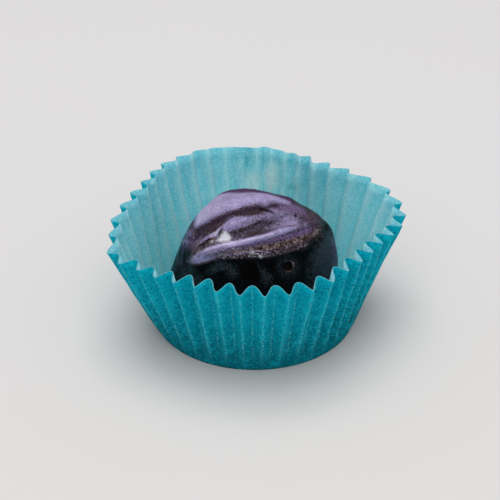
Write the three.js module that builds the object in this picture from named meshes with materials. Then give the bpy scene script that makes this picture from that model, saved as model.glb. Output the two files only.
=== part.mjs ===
// Chocolate truffle in its pleated paper case.
// Millimetres, +Z up, +X to the right, +Y to the back. The origin is the centre of the case's flat base.
import * as THREE from 'three';
import { mergeVertices } from 'three/addons/utils/BufferGeometryUtils.js';

const degrees = (value) => value * Math.PI / 180;

// ---- Paper case: a flat disc of paper, its middle left flat and the rest pressed up into pleats ----
const BASE_RADIUS = 16;
const WALL_LENGTH = 19.4;          // paper from the base's edge to the rim, measured along the slope
const PAPER = 0.3;
const PLEATS = 40;
const FIRST_PLEAT = degrees(3.04); // where one outer fold stands, counted from +X
const RIM_RADIUS = 21.45;          // halfway between the inner and the outer folds, at the rim
const RIM_SHAPE = [                // the soft case has been pushed out of round
  { lobes: 1, size: 0.44, turn: degrees(-136) },
  { lobes: 3, size: 1.14, turn: degrees(-4) },
  { lobes: 4, size: 1.42, turn: degrees(18) },
];
const PLEAT_DRIFT = [              // the pleats crowd together on one side and spread on another
  { lobes: 1, size: degrees(1.83), turn: degrees(-31) },
  { lobes: 2, size: degrees(3.05), turn: degrees(48.6) },
  { lobes: 3, size: degrees(2.14), turn: degrees(-52) },
];
const CRUSHED = { turn: degrees(80), spread: degrees(13), flattening: 0.6 };  // pleats pressed flat
const COLUMNS_PER_PLEAT = 6;
const WALL_ROWS = 4;
const ROW_CROWDING = 1.5;          // rows lie closer together near the base, where the pleats start

// ---- Truffle: a dome that leans a little, with combed ridges under an oval cap of thicker coating ----
const FOOT_HEIGHT = PAPER + 0.3;
const DOME_RADIUS = 13.1;
const DOME_HEIGHT = 17.3;
const DOME_SQUARENESS = 2.66;      // 2 would be a plain ellipse from the side
const DOME_CENTRE = { x: -1.6, y: 0 };
const DOME_LEAN = 0.13;            // sideways shift to +X for each millimetre of height
const FOOT_TUCK = 0.9;             // how far the wall draws in at the foot
const FOOT_TUCK_HEIGHT = 1.6;
const SWELLINGS = [                // where the dome stands out or falls short, seen from its foot's centre
  { turn: degrees(180), climb: degrees(60), spread: degrees(26), size: -0.7 },
  { turn: degrees(0), climb: degrees(42), spread: degrees(26), size: 2.1 },
  { turn: degrees(25), climb: degrees(66), spread: degrees(24), size: 0.4 },
  { turn: degrees(165), climb: degrees(74), spread: degrees(24), size: 3.3 },
];
const COATING_EDGE = { x: -0.6, y: 0, halfWidth: 11.3, halfDepth: 8.9 };
const COATING_STEP = 0.6;          // height of the ledge that the coating's edge makes
const COATING_STEP_WIDTH = 0.07;   // share of the oval over which the ledge falls
const COATING_RUN = { turn: degrees(182), spread: degrees(24) };  // where it runs down without an edge
const COATING_RIPPLE = [           // the edge wanders in and out
  { lobes: 5, size: 0.018, turn: degrees(20) },
  { lobes: 9, size: 0.014, turn: degrees(75) },
  { lobes: 16, size: 0.010, turn: degrees(10) },
];
// Each comb mark follows y = start + slope x + bow x squared, seen from above, between two values of x.
// Marks that stand up have a height above 0 and the grooves between them one below 0.
const COMB_MARKS = [
  { height: 0.45, width: 1.9, start: 1.4, slope: 0.47, bow: 0.033, from: -11, to: 7 },
  { height: -0.7, width: 0.85, start: -1.65, slope: 0.455, bow: 0.043, from: -11, to: 6.5 },
  { height: 0.5, width: 1.1, start: -3.4, slope: 0.39, bow: 0.027, from: -9.5, to: 5 },
  { height: -0.45, width: 0.85, start: -5.1, slope: 0.545, bow: 0.016, from: -4.5, to: 6 },
  { height: 0.55, width: 0.8, start: -6.5, slope: 0.234, bow: 0.039, from: -10.5, to: 10.5 },
  { height: -0.35, width: 1.0, start: 4.6, slope: 0.45, bow: 0.012, from: -9, to: 3 },
  { height: 0.35, width: 1.2, start: 7.0, slope: 0.30, bow: -0.02, from: -7, to: 5 },
];
const MARK_FADE = 2.2;             // length over which a mark's end dies away
const PIT = { x: 5.2, y: -9.0, z: 14.4, radius: 0.8, depth: 0.6 };  // a broken bubble under the ledge
const TRUFFLE_COLUMNS = 112;
const TRUFFLE_ROWS = 30;
const TRUFFLE_ROW_CROWDING = 0.6;  // rows lie closer together over the combed top

const waves = (list, turn) => list.reduce(
  (sum, { lobes, size, turn: peak }) => sum + size * Math.cos(lobes * (turn - peak)), 0);

const smooth = (value) => {
  const t = THREE.MathUtils.clamp(value, 0, 1);
  return t * t * (3 - 2 * t);
};

// A closed lathe turned upright, with its columns starting at a chosen turn and its shared corners merged
function uprightLathe(profile, columns, firstTurn) {
  const lathe = new THREE.LatheGeometry(profile, columns);
  lathe.rotateX(Math.PI / 2);
  lathe.rotateZ(firstTurn);
  lathe.deleteAttribute('normal');
  lathe.deleteAttribute('uv');
  return mergeVertices(lathe, 1e-4);
}

// Moves every corner of a geometry to the place that the function gives for it
function reshape(geometry, placeOf) {
  const corners = geometry.attributes.position;
  const corner = new THREE.Vector3();
  for (let i = 0; i < corners.count; i += 1) {
    corner.fromBufferAttribute(corners, i);
    const place = placeOf(corner);
    corners.setXYZ(i, place.x, place.y, place.z);
  }
  geometry.computeVertexNormals();
  return geometry;
}

// ---- Paper case ----

// The paper between two folds is as wide as it was when flat, and that sets how deep the pleats stand
function pleatDepth(along, radius) {
  const flatWidth = Math.PI * (BASE_RADIUS + along) / PLEATS;
  const foldedWidth = Math.PI * radius / PLEATS;
  return Math.sqrt(Math.max(flatWidth ** 2 - foldedWidth ** 2, 0));
}

// The turn that a pleat really stands at, after it has crowded or spread
const driftedTurn = (turn) => turn + waves(PLEAT_DRIFT, turn);

// The middle of the paper wall, at a turn round the case and a distance along the slope
function wallPoint(turn, along) {
  const angle = driftedTurn(turn);
  const rimRadius = RIM_RADIUS + waves(RIM_SHAPE, angle);
  const radius = BASE_RADIUS + (rimRadius - BASE_RADIUS) * along / WALL_LENGTH;
  const away = (angle - CRUSHED.turn) / CRUSHED.spread;
  const kept = 1 - CRUSHED.flattening * Math.exp(-away * away) * along / WALL_LENGTH;
  const fold = Math.cos(PLEATS * (turn - FIRST_PLEAT));
  const reach = radius + fold * kept * pleatDepth(along, radius) / 2;
  const height = Math.sqrt(Math.max(along ** 2 - (reach - BASE_RADIUS) ** 2, 0));
  return new THREE.Vector3(reach * Math.cos(angle), reach * Math.sin(angle), PAPER / 2 + height);
}

// The direction that faces into the case, square to the paper
function wallInward(turn, along) {
  const step = 1e-3;
  const across = wallPoint(turn + step, along).sub(wallPoint(turn - step, along));
  const upward = wallPoint(turn, along + step).sub(wallPoint(turn, along - step));
  return upward.cross(across).normalize();
}

// A corner of the flat paper disc goes to its place in the pressed case
function pressed(corner) {
  const flatRadius = Math.hypot(corner.x, corner.y);
  const turn = Math.atan2(corner.y, corner.x);
  const along = flatRadius - BASE_RADIUS;
  if (along < 1e-3) {
    const angle = driftedTurn(turn);
    return new THREE.Vector3(flatRadius * Math.cos(angle), flatRadius * Math.sin(angle), corner.z);
  }
  const offset = corner.z - PAPER / 2;
  return wallPoint(turn, along).addScaledVector(wallInward(turn, along), offset);
}

function paperCase() {
  const wallRadii = [];
  for (let row = 0; row <= WALL_ROWS; row += 1) {
    wallRadii.push(BASE_RADIUS + WALL_LENGTH * (row / WALL_ROWS) ** ROW_CROWDING);
  }
  const under = wallRadii.map((radius) => new THREE.Vector2(radius, 0));
  const upper = wallRadii.map((radius) => new THREE.Vector2(radius, PAPER)).reverse();
  const disc = [new THREE.Vector2(0, 0), ...under, ...upper, new THREE.Vector2(0, PAPER)];
  const flat = uprightLathe(disc, PLEATS * COLUMNS_PER_PLEAT, FIRST_PLEAT);
  const mesh = new THREE.Mesh(reshape(flat, pressed),
    new THREE.MeshStandardMaterial({ color: 0x138ea0, roughness: 0.75, metalness: 0 }));
  mesh.name = 'paper_case';
  return mesh;
}

// ---- Truffle ----

// The share of the coating's thickness at a point seen from above: 1 inside its oval and 0 outside
function coatingShare(x, y) {
  const across = (x - COATING_EDGE.x) / COATING_EDGE.halfWidth;
  const deep = (y - COATING_EDGE.y) / COATING_EDGE.halfDepth;
  const turn = Math.atan2(deep, across);
  const inside = 1 - Math.hypot(across, deep) + waves(COATING_RIPPLE, turn);
  const fromRun = THREE.MathUtils.euclideanModulo(turn - COATING_RUN.turn + Math.PI, 2 * Math.PI) - Math.PI;
  const run = Math.exp(-((fromRun / COATING_RUN.spread) ** 2));
  return Math.max(smooth(0.5 + inside / COATING_STEP_WIDTH), run);
}

// How high one comb mark stands at a point seen from above
function combMark(mark, x, y) {
  const line = mark.start + mark.slope * x + mark.bow * x * x;
  const lean = Math.hypot(1, mark.slope + 2 * mark.bow * x);
  const away = (y - line) / lean / mark.width;
  const ends = smooth((x - mark.from) / MARK_FADE) * smooth((mark.to - x) / MARK_FADE);
  return mark.height * ends * Math.exp(-away * away);
}

// How far the finished surface stands out from the smooth dome
function relief(point) {
  const coated = coatingShare(point.x, point.y);
  const combed = COMB_MARKS.reduce((sum, mark) => sum + combMark(mark, point.x, point.y), 0);
  const fromPit = Math.hypot(point.x - PIT.x, point.y - PIT.y, point.z - PIT.z) / PIT.radius;
  const pitted = PIT.depth * Math.exp(-fromPit * fromPit);
  return (coated - 0.5) * COATING_STEP + coated * combed - pitted;
}

// A unit vector at a turn round the truffle and an angle above the table
function direction(turn, climb) {
  return new THREE.Vector3(
    Math.cos(climb) * Math.cos(turn), Math.cos(climb) * Math.sin(turn), Math.sin(climb));
}

// How far the smooth dome reaches from its foot's centre, in one direction
function domeReach(heading) {
  const level = Math.hypot(heading.x, heading.y) / DOME_RADIUS;
  const upright = heading.z / DOME_HEIGHT;
  const plain = (level ** DOME_SQUARENESS + upright ** DOME_SQUARENESS) ** (-1 / DOME_SQUARENESS);
  return SWELLINGS.reduce((sum, { turn, climb, spread, size }) => {
    const away = heading.angleTo(direction(turn, climb)) / spread;
    return sum + size * Math.exp(-away * away);
  }, plain);
}

// A corner of a unit half-ball goes to its place on the truffle
function moulded(corner) {
  const onFoot = corner.z < 1e-6;
  const heading = corner.clone().setZ(onFoot ? 0 : corner.z);
  const level = heading.length();
  if (level < 1e-6) return new THREE.Vector3(DOME_CENTRE.x, DOME_CENTRE.y, FOOT_HEIGHT);
  heading.divideScalar(level);
  const point = heading.clone().multiplyScalar(domeReach(heading) * (onFoot ? level : 1));
  const wallShare = smooth(point.z / FOOT_TUCK_HEIGHT);
  const tuck = 1 - FOOT_TUCK / DOME_RADIUS * (1 - wallShare);
  point.x = point.x * tuck + DOME_CENTRE.x + DOME_LEAN * point.z;
  point.y = point.y * tuck + DOME_CENTRE.y;
  point.z += FOOT_HEIGHT;
  const core = new THREE.Vector3(DOME_CENTRE.x, DOME_CENTRE.y, FOOT_HEIGHT + DOME_HEIGHT / 3);
  const outward = point.clone().sub(core).normalize();
  return point.addScaledVector(outward, relief(point) * wallShare);
}

function truffle() {
  const profile = [new THREE.Vector2(0, 0)];
  for (let row = 0; row <= TRUFFLE_ROWS; row += 1) {
    const climb = Math.PI / 2 * (row / TRUFFLE_ROWS) ** TRUFFLE_ROW_CROWDING;
    profile.push(new THREE.Vector2(row === TRUFFLE_ROWS ? 0 : Math.cos(climb), Math.sin(climb)));
  }
  const halfBall = uprightLathe(profile, TRUFFLE_COLUMNS, 0);
  const mesh = new THREE.Mesh(reshape(halfBall, moulded),
    new THREE.MeshStandardMaterial({ color: 0x4a3a4e, roughness: 0.35, metalness: 0.1 }));
  mesh.name = 'truffle';
  return mesh;
}

const chocolateInCase = new THREE.Group();
chocolateInCase.name = 'chocolate_truffle';
chocolateInCase.add(paperCase(), truffle());

export default chocolateInCase;
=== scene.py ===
"""A chocolate truffle in its pleated paper case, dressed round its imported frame.

Blender 4.5. Metres, +Z up, +X to the right and +Y to the back, as in the frame.
"""

import math

import bmesh
import bpy
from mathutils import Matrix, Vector


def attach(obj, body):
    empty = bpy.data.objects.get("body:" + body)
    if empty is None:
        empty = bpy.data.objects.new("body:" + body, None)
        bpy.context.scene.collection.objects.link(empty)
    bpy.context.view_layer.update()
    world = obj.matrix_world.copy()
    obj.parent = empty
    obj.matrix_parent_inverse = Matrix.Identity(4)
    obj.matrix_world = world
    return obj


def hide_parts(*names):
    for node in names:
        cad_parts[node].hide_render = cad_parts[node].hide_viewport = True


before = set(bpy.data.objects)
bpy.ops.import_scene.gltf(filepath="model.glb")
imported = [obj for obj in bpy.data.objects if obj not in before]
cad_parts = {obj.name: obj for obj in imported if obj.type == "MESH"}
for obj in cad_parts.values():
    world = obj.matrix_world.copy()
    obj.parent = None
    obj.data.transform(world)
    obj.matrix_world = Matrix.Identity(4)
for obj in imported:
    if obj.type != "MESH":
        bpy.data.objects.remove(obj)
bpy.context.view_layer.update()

MM = 0.001


def turn_of(degrees):
    return math.radians(degrees)


# ---- Paper case: a flat disc of paper, its middle left flat and the rest pressed up into pleats ----
BASE_RADIUS = 16 * MM
WALL_LENGTH = 19.4 * MM       # paper from the base's edge to the rim, measured along the slope
PAPER = 0.12 * MM
PLEATS = 40
FIRST_PLEAT = turn_of(3.04)   # where one outer fold stands, counted from +X
RIM_RADIUS = 21.45 * MM       # halfway between the inner and the outer folds, at the rim
# How the soft case has been pushed out of round: lobes, size and turn of each wave
RIM_SHAPE = [(1, 0.44 * MM, turn_of(-136)), (3, 1.14 * MM, turn_of(-4)), (4, 1.42 * MM, turn_of(18))]
# How the pleats crowd together on one side and spread on another
PLEAT_DRIFT = [(1, turn_of(1.83), turn_of(-31)), (2, turn_of(3.05), turn_of(48.6)),
               (3, turn_of(2.14), turn_of(-52))]
CRUSHED_TURN = turn_of(88)    # the stretch of rim whose pleats are pressed flat
CRUSHED_SPREAD = turn_of(25)
CRUSHED_FLATTENING = 0.93
LEANING_TURN = turn_of(206.5)    # the stretch where the wall leans further out
LEANING_SPREAD = turn_of(7.5)
LEANING_OUT = 0.95 * MM
OPENED_TURN = turn_of(209)    # the stretch whose pleats are a little opened
OPENED_SPREAD = turn_of(21)
OPENED_FLATTENING = 0.28
COLUMNS_PER_PLEAT = 8
WALL_RINGS = 9
RING_CROWDING = 1.4           # rings lie closer together near the base, where the pleats start
FOLD_SHARPNESS_LOW = 0.86     # 1 would be a knife fold and 0 a soft wave
FOLD_SHARPNESS_RIM = 0.30
INNER_FOLD_ROUNDNESS = 0.15   # at the rim the inner folds are opened wider than the outer ones
# How much the cut rim stands up past its even height, by turn in degrees round the crushed stretch
RIM_LIFT = [(54, 0), (64, 0.55), (73, 0.32), (85.6, 0.38), (90, 0), (112, 0.26), (120, 0)]
# Wrinkles where the rim was crushed: pleats round from the first one, at the rim and lower down, then the
# wrinkle's width in pleats and the share of the way up at which it starts
FOLD_MARK = (9.03, 9.10, 0.10, 0.78)
BENT_MARK = (9.97, 10.32, 0.26, 0.78)
HEM_MARK = (10.45, 10.45, 1.00, 0.86)
# Painted highlights on the dents inside the crushed rim: pleats round, share of the way up, and reach of each
DENT_HIGHLIGHTS = [(9.73, 0.68, 0.50, 0.10), (8.40, 0.75, 0.55, 0.12)]
BASE_FOLD = 1.26              # millimetres of paper between two folds, at the base and at the rim
RIM_FOLD = 2.78
# Unevenness of the wall in millimetres: how wide its lumps are and how far they stand in and out
SOFT_WOBBLE = dict(grain=5.0, height=0.5)
CRUSHED_BUCKLES = dict(grain=2.6, height=1.6)
FLOOR_INSET = 0.5 * MM        # a narrow ring round the floor, which keeps its edge flat

# ---- Truffle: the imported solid's dome, taken finer, with its comb strokes cut crisp ----
CLAY = 0.17 * MM              # size of the even squares that the dome is remade in
WELD = 0.005 * MM             # corners nearer than this are one corner
DOME_SMOOTHING = dict(factor=0.5, iterations=14)
COMB_SMOOTHING = dict(factor=0.5, iterations=3)
# Comb strokes in millimetres. Each follows y = start + slope x + bow x squared, seen from above, between two
# values of x; it lifts (above 0) or presses (below 0) the coating by height, over reach to either side.
CROWN = dict(height=0.06, reach=2.8, start=1.4, slope=0.47, bow=0.033, low=-11, high=7)
DEEP_FURROW = dict(height=-0.22, reach=1.5, start=-1.9, slope=0.455, bow=0.043, low=-11, high=3.5)
MIDDLE_RIDGE = dict(height=0.20, reach=1.5, start=-3.4, slope=0.39, bow=0.027, low=-9.5, high=5)
SHORT_FURROW = dict(height=-0.24, reach=1.2, start=-5.1, slope=0.545, bow=0.016, low=-4.5, high=6)
SHARP_RIDGE = dict(height=0.27, reach=0.95, start=-6.8, slope=0.255, bow=0.032, low=-11, high=10.5)
UNDERCUT = dict(height=-0.12, reach=0.9, start=-7.8, slope=0.21, bow=0.034, low=-6.5, high=9.5)
BACK_FURROW = dict(height=-0.08, reach=1.4, start=4.6, slope=0.45, bow=0.012, low=-9, high=3)
BACK_RIDGE = dict(height=0.08, reach=1.5, start=7.0, slope=0.30, bow=-0.02, low=-7, high=5)
STROKES = [CROWN, DEEP_FURROW, MIDDLE_RIDGE, SHORT_FURROW, SHARP_RIDGE, UNDERCUT, BACK_FURROW, BACK_RIDGE]
STROKE_PASSES = 3             # each stroke is worked in passes, every one a little shorter than the last
STROKE_TAPER = 1.1            # millimetres
COMBED_ABOVE = 10             # millimetres up the dome
COATING_EDGE = dict(x=-0.6, y=0, half_width=11.3, half_depth=8.9)
COATING_RIPPLE = [(5, 0.018, turn_of(20)), (9, 0.014, turn_of(75)), (16, 0.010, turn_of(10))]
LOBE = dict(place=Vector((-9.0, -6.0, 13.0)), radius=0.5, push=0.64, reach=1.9)
SHOULDER = dict(place=Vector((11.0, 2.6, 14.6)), radius=0.6, push=0.55, reach=3.2)
# A broken bubble in the side: the skin round it stands up a little and its middle is sunk
BUBBLE_SKIN = dict(place=Vector((5.2, -9.0, 14.4)), radius=0.3, push=0.16, reach=1.6)
BUBBLE_HOLE = dict(place=Vector((5.2, -9.0, 14.4)), radius=0.3, push=-0.8, reach=0.95)
# Unevenness of the coating in millimetres, as for the wall
CRUMBS = dict(grain=0.45, height=0.42)
UNEVENNESS = dict(grain=2.4, height=0.25)
FOOT = 0.05 * MM              # what lies this low is the flat foot
FOOT_REACH = 3 * MM           # and this much of the side follows it down onto the paper

# ---- Lustre, with painted light and shade: where the brush has laid each finish, in millimetres across and
# ---- up as the dome is looked at from in front and above, tilted by BRUSH_TILT ----
BRUSH_TILT = turn_of(31.7)
BRUSH_EDGE = 0.16             # how softly the near side's dust goes over into the far side's
DAB_REACH = 2.2               # radii at which a dab has died away
CROWN_LOW = [(-9.5, 13.5), (-7.9, 14.3), (-6.3, 15.25), (-4.7, 15.9), (-3.1, 16.45), (-1.5, 16.95),
             (0.1, 17.3), (1.7, 17.55), (3.3, 17.6), (4.8, 17.35), (5.8, 17.0)]
CROWN_LOW_LEFT = CROWN_LOW[:4]
CROWN_TOP = [(-9.7, 14.3), (-8.8, 16.2), (-7.8, 17.1), (-6.8, 18.1), (-5.5, 18.6), (-3.9, 18.8), (-2.3, 18.8),
             (-0.7, 18.9), (1.2, 18.8), (3.2, 18.3), (4.8, 17.7), (6.0, 17.2)]
CROWN_TOP_LEFT = CROWN_TOP[:6]
PAST_THE_TOP = [(-13, 30), (14, 30)]    # above all of the dome
FURROW = [(-10.3, 11.85), (-9.7, 12.45), (-8.6, 12.95), (-7.0, 13.95), (-5.4, 14.85), (-3.8, 15.65),
          (-2.3, 16.05), (-0.7, 16.45), (0.8, 16.75), (2.4, 16.95), (4.0, 17.15), (5.6, 17.15), (7.2, 16.85)]
FURROW_MIDDLE = FURROW[3:11]
BROWN_LINE = [(-6.3, 13.6), (-4.6, 14.8), (-3.1, 15.7), (-1.5, 16.1), (0.1, 16.3), (1.6, 16.4), (3.0, 16.2)]
MIDDLE_TOP = [(-5.1, 13.9), (-4.1, 14.8), (-3.2, 15.4), (-2.0, 15.5), (-0.7, 15.5), (0.8, 15.8), (2.7, 16.0)]
MIDDLE_LOW = [(-5.0, 12.8), (-4.0, 12.9), (-2.9, 13.3), (-1.6, 13.7), (-0.4, 14.1), (0.5, 14.5), (2.9, 15.2)]
RIGHT_SHOULDER = [(1.1, 15.3), (2.7, 15.8), (4.3, 15.5), (5.8, 15.0), (7.4, 14.5)]
RIGHT_HAZE = [(3.4, 16.9), (4.8, 16.9), (6.4, 16.6), (8.0, 16.0)]
VALLEY_LOW = [(1.0, 12.8), (3.0, 13.3), (5.0, 13.8), (7.2, 14.2)]
VALLEY_TOP = [(1.0, 13.6), (3.0, 14.6), (5.0, 15.0), (7.2, 15.0)]
CRACK_ACROSS = [(4.4, 15.6), (5.1, 15.8), (5.8, 15.7), (6.4, 15.55), (7.1, 15.1)]
CRACK_BELOW = [(4.8, 15.5), (5.6, 15.1), (6.4, 14.75), (6.9, 14.6)]
BROWN_ARC = [(0.5, 16.55), (1.5, 16.5), (2.5, 16.2), (3.1, 15.8)]
GREY_FURROW = [(-4.0, 12.0), (-2.9, 12.3), (-1.8, 12.7), (-0.7, 13.2), (0.4, 13.7), (1.5, 14.1), (3.3, 15.1)]
SHARP_TOP = [(-8.8, 9.82), (-7.5, 10.52), (-6.6, 10.8), (-5.3, 11.2), (-3.8, 11.44), (-2.3, 11.64),
             (-0.7, 11.94), (0.8, 12.44), (2.1, 12.92), (3.3, 13.42), (4.6, 13.82), (5.8, 13.95),
             (7.4, 14.15)]
SHARP_CREST = [(-9.3, 9.25), (-8.4, 9.7), (-7.5, 10.15), (-6.6, 10.5), (-5.3, 10.87), (-3.8, 11.2),
               (-2.3, 11.5), (-0.7, 11.8), (0.9, 12.15), (2.5, 12.6), (4.5, 13.2)]
SHARP_LOW = [(-8.5, 9.52), (-7.5, 10.02), (-6.6, 10.1), (-5.3, 10.4), (-3.8, 10.54), (-2.3, 10.84),
             (-0.7, 11.14), (0.8, 11.54), (2.4, 11.92), (3.9, 12.35), (5.5, 12.95), (7.1, 13.5)]
UNDER_SHARP = [(-7.8, 9.35), (-6.6, 9.85), (-5.3, 10.25), (-3.8, 10.35), (-2.3, 10.65), (-0.7, 10.95),
               (0.8, 11.35), (2.4, 11.65), (3.9, 12.05), (5.5, 12.35), (7.1, 12.85), (9.0, 13.45)]
UNDER_SHARP_LEFT = UNDER_SHARP[:4]
LOBE_TOP = [(-10.6, 9.1), (-9.6, 9.8), (-8.5, 10.2), (-7.2, 10.6)]
LOBE_LOW = [(-10.1, 8.1), (-9.0, 8.0), (-7.7, 8.3), (-6.6, 8.6), (-5.7, 8.8)]
LOBE_CRACK = [(-8.3, 8.6), (-7.7, 9.0), (-6.9, 9.5), (-6.0, 9.8)]
LOW_STREAK = [(-7.2, 8.5), (-6.3, 9.0), (-5.0, 9.4), (-3.5, 9.4), (-2.3, 9.6), (-0.7, 9.9), (1.1, 10.0),
              (2.7, 9.7)]
BRONZE_LINE = [(-6.3, 9.5), (-4.6, 9.8), (-2.3, 10.2), (0.1, 10.4), (2.4, 10.7), (4.7, 11.3), (6.7, 11.8),
               (8.3, 12.3), (9.9, 13.2)]
LEDGE = [(-10.3, 7.62), (-9.1, 7.72), (-8.0, 7.92), (-6.9, 8.22), (-5.3, 8.62), (-3.5, 8.72), (-1.5, 8.82),
         (1.9, 8.82), (3.1, 9.12), (4.7, 9.52), (5.8, 9.92), (7.0, 10.22), (8.1, 10.52), (8.8, 11.42),
         (9.8, 12.32), (10.8, 13.22)]
# The ledge is crisp but for its right end, and its crumbs start a little way in from its left one
LEDGE_CRISP = LEDGE[:13]
LEDGE_SOFT = LEDGE[11:]
LEDGE_CRUMBED = LEDGE[3:]
LEDGE_SHADED = LEDGE[3:13]
LEDGE_SPARKLING = LEDGE[4:]
LEDGE_BRIGHTEST = LEDGE[4:10]
LEFT_STREAK = [(-9.0, 11.0), (-8.2, 11.6), (-7.4, 12.1), (-6.8, 12.4), (-6.1, 12.75), (-5.5, 13.35),
               (-4.9, 14.0)]
LEFT_END = [(-11.6, 9.5), (-11.1, 10.7), (-10.5, 11.8), (-9.8, 12.5)]
CREAM_LOW = [(-6.1, 11.4), (-5.0, 11.4), (-3.5, 11.6)]
CREAM_TOP = [(-6.1, 11.5), (-5.2, 12.3), (-4.6, 13.2), (-4.2, 12.7), (-3.5, 11.9)]
CREAM_STREAK = [(-6.8, 12.45), (-6.1, 12.7), (-5.5, 13.2)]
MAGENTA_STREAK = [(6.7, 13.6), (8.0, 13.4), (9.3, 13.1)]
CRUMB_ROW = [(-7.6, 11.6), (-6.9, 11.8), (-6.3, 11.9)]
CRUMB_ROW_LEFT = [(-8.9, 10.6), (-8.2, 11.0), (-7.6, 11.3)]
RIGHT_EDGE_LOW = [(12.0, 5), (13.6, 5)]
RIGHT_EDGE_TOP = [(12.0, 13), (13.6, 13)]
RIGHT_SIDE_LOW = [(8.4, 4), (12.9, 4)]
RIGHT_SIDE_TOP = [(8.4, 9.5), (12.9, 14.5)]
LEFT_BLOOM = [(-7.2, 6.9), (-5.4, 7.7), (-2.8, 7.3)]
MIDDLE_BLOOM = [(0.6, 7.6), (1.2, 6.8), (2.4, 6.1)]
BUBBLE_MIDDLE = (5.17, 7.65)
BUBBLE_RADIUS = 0.84
BUBBLE_DABS = 20              # dabs of bronze round its torn skin
BUBBLE_DAB = 0.14             # radius of each

# ---- Paper: sizes of its grains in millimetres, and its colours ----
PULP_FIBRE = 0.36
PULP_CLOUD = 1.7
WORN_SPECK = 0.34
FOLD_WANDER = 1.1             # how far apart the folds' small bends are
CREASE_EDGE = 0.34            # millimetres from a fold within which the paper is worn
PAPER_GLOW = 0.5 * MM         # how far light spreads inside the sheet
PAPER_RELIEF = 0.04           # millimetres
# Painted shade along the crushed rim's wrinkles and under its folded flap, on the inside
WRINKLE_SHADE = (0.06, 0.36, 0.46)
OUTSIDE = dict(low=(0.0, 0.145, 0.20), sheet=(0.0, 0.33, 0.44), rim=(0.0, 0.33, 0.44),
               deep=(0.0, 0.145, 0.19), fibre_and_lit=(0.008, 0.46, 0.56), worn_and_lit=(0.09, 0.50, 0.56))
# The inside is paler than the outside partly as painted light: the glow through the sheet and its sheen
INSIDE = dict(low=(0.36, 0.72, 0.83), sheet=(0.32, 0.67, 0.78), rim=(0.20, 0.53, 0.64),
              deep=(0.14, 0.52, 0.64), fibre_and_lit=(0.50, 0.77, 0.85), worn_and_lit=(0.62, 0.81, 0.86))
CUT_EDGE = [(0.05, 0.34, 0.42), (0.16, 0.45, 0.52)]
CUT_EDGE_FIBRE = 0.25

# ---- Chocolate and lustre: sizes of the grains in millimetres, and colours, the deeper before the paler ----
FINE_DUST = 0.15
SPECKLE = 0.22
MEDIUM_DUST = 0.42
CLUMP = 0.75
BROAD_PATCH = 1.5
SPARKLE = 0.17
CHOCOLATE_RELIEF = 0.16
BARE_CHOCOLATE = (0.0022, 0.0018, 0.0021)
BLOOM_AND_SHEEN = (0.036, 0.052, 0.068)
DUSKY = [(0.022, 0.012, 0.016), (0.092, 0.066, 0.086)]
VIOLET = [(0.085, 0.037, 0.105), (0.165, 0.072, 0.225)]
BRONZE = [(0.030, 0.014, 0.012), (0.34, 0.235, 0.22)]
LILAC = [(0.405, 0.34, 0.61), (0.53, 0.455, 0.79)]
THIN_LILAC = (0.34, 0.27, 0.47)
LILAC_HIGHLIGHT = (0.83, 0.73, 1.0)
CREAM = (0.80, 0.77, 0.86)
CRACK_AND_SHADE_DARK = (0.007, 0.004, 0.004)
GLINT_PALE = (0.76, 0.65, 0.76)

# ---- Camera, table and lights ----
VIEW_ELEVATION = turn_of(31.681)
VIEW_DISTANCE = 288 * MM
VIEW_TARGET = Vector((-0.717, 0, 11.958)) * MM
SENSOR = 36.0
LENS = 130.37
NEAREST_SEEN = 10 * MM
TABLE_SIZE = 4                # metres
TABLE_MOTTLE = 30             # millimetres
TABLE_COLOURS = [(0.785, 0.775, 0.785), (0.785, 0.755, 0.735)]
ROOM_LIGHT = 0.45             # from all round
KEY = dict(place=(-0.03, 0.14, 0.95), size=0.66, power=3.8)
FILL = dict(place=(-0.02, -0.52, 0.78), size=0.80, power=2.25)
LIT_MIDDLE = (0, 0, 0.01)


# ---------------------------------------------------------------- helpers for modelling

def put_down_everything():
    """Nothing stays selected, so the next operator acts on its own piece alone."""
    if bpy.context.object and bpy.context.object.mode == "EDIT":
        bpy.ops.object.mode_set(mode="OBJECT")
    bpy.ops.object.select_all(action="DESELECT")


def take_up(piece):
    put_down_everything()
    piece.select_set(True)
    bpy.context.view_layer.objects.active = piece


def start_editing(piece, what):
    """Opens the piece's mesh with nothing selected; what is VERT, EDGE or FACE."""
    take_up(piece)
    bpy.ops.object.mode_set(mode="EDIT")
    bpy.ops.mesh.select_mode(type=what)
    bpy.ops.mesh.select_all(action="DESELECT")
    return bmesh.from_edit_mesh(piece.data)


def stop_editing():
    bpy.ops.object.mode_set(mode="OBJECT")


def apply_modifier(piece, kind, **settings):
    take_up(piece)
    modifier = piece.modifiers.new(kind.lower(), kind)
    for name, value in settings.items():
        setattr(modifier, name, value)
    bpy.ops.object.modifier_apply(modifier=modifier.name)


def waves(shape, turn):
    return sum(size * math.cos(lobes * (turn - peak)) for lobes, size, peak in shape)


def smooth_step(value):
    t = min(max(value, 0), 1)
    return t * t * (3 - 2 * t)


def rise(value, start, end):
    """0 up to start and 1 from end on, with a smooth rise between them."""
    return smooth_step((value - start) / (end - start))


def height_along(path, x):
    """The path's height at x, on straight lines between its points and beyond its ends."""
    for (left, low), (right, high) in zip(path, path[1:]):
        if x <= right:
            break
    return low + (high - low) * (x - left) / (right - left)


def weigh(piece, name, weight_of):
    """A vertex group whose weights come from each corner's place in millimetres."""
    group = piece.vertex_groups.new(name=name)
    for vertex in piece.data.vertices:
        weight = weight_of(*(vertex.co / MM))
        if weight > 0.01:
            group.add([vertex.index], weight, "REPLACE")
    return group


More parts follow.
